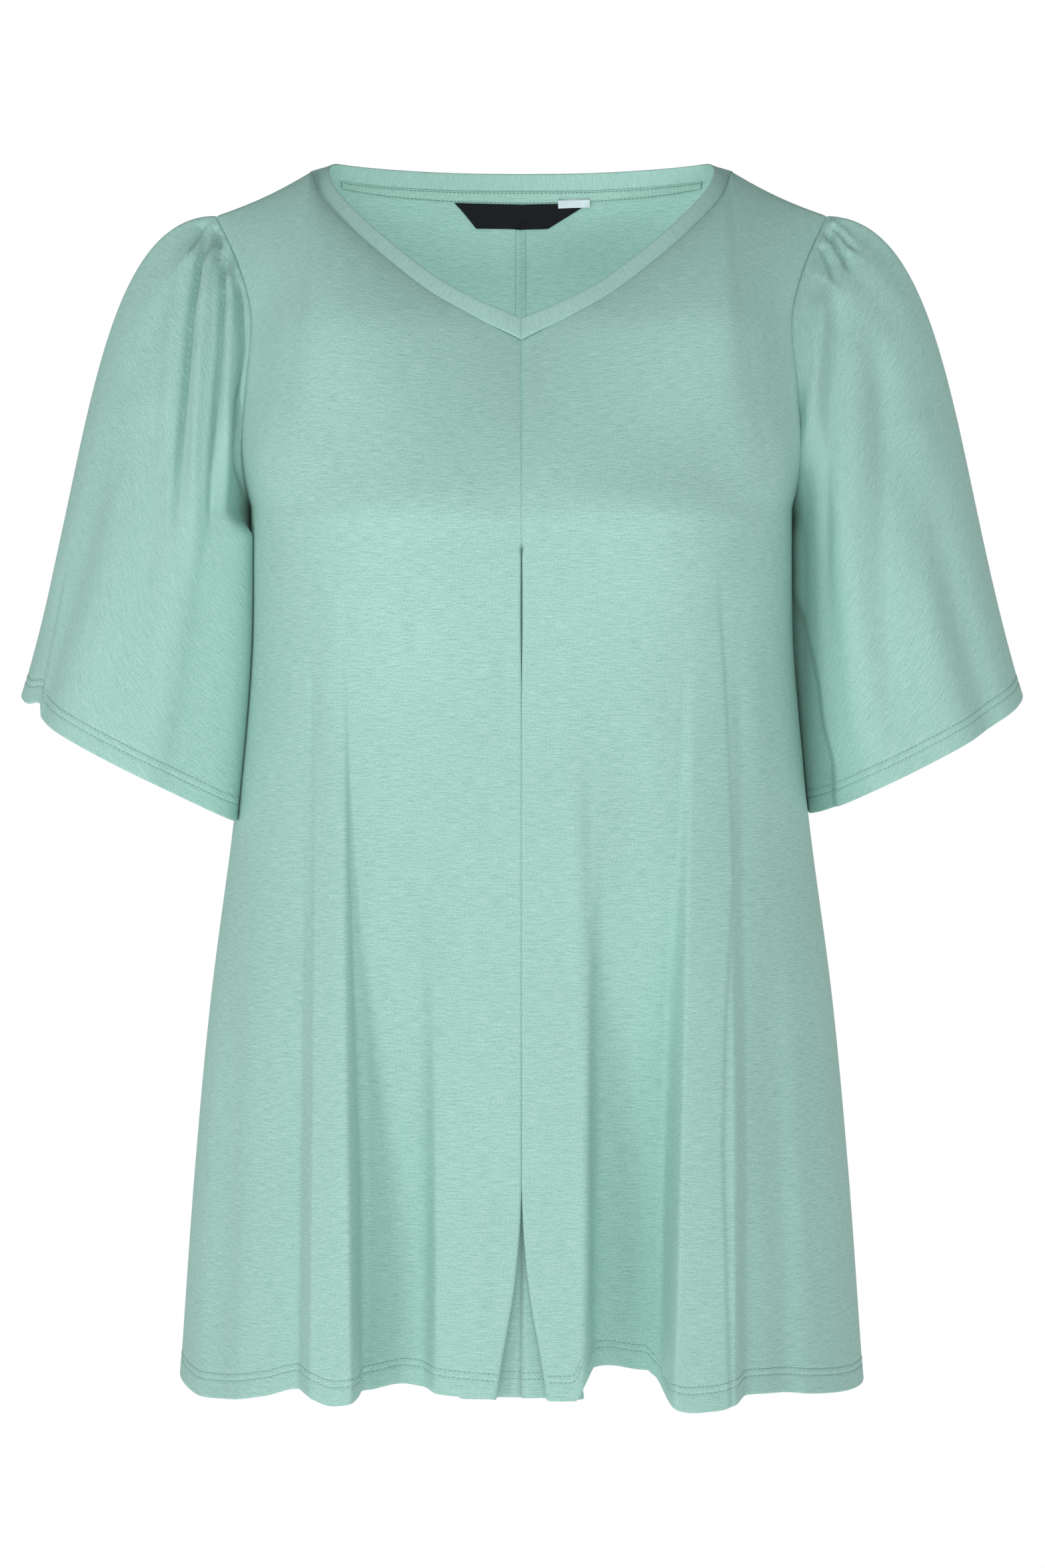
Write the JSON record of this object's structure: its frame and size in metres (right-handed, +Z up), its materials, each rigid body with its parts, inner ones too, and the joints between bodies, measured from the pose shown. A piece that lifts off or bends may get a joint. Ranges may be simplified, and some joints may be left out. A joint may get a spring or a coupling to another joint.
{
  "type": "pleated jersey swing top",
  "caption": "V neck jersey top with a centre front inverted pleat, flared elbow sleeves gathered at the head and a swing hem, in its worn form",
  "frame": {"origin": "midway between the two points where the shoulder seams meet the neckband, where the wearer holds the garment up", "axes": "+Z up along the garment's length, the front faces -Y, the wearer's left is +X"},
  "size_m": [0.6452, 0.3268, 0.7881],
  "materials": {
    "jersey": "fine sage green viscose jersey with pale heathered streaks and a soft sheen",
    "neck_binding": "the same jersey folded double",
    "ribbed_tape": "fine ribbed cotton tape",
    "woven_label": "black damask woven label, bare",
    "satin_tab": "pale satin tab, bare"
  },
  "bodies": {
    "root": {"front_left": "jersey", "front_right": "jersey", "back_left": "jersey", "back_right": "jersey", "sleeve_left": "jersey", "sleeve_right": "jersey", "neckband": "neck_binding", "neck_tape": "ribbed_tape", "neck_label": "woven_label", "size_tab": "satin_tab"}
  },
  "joints": []
}
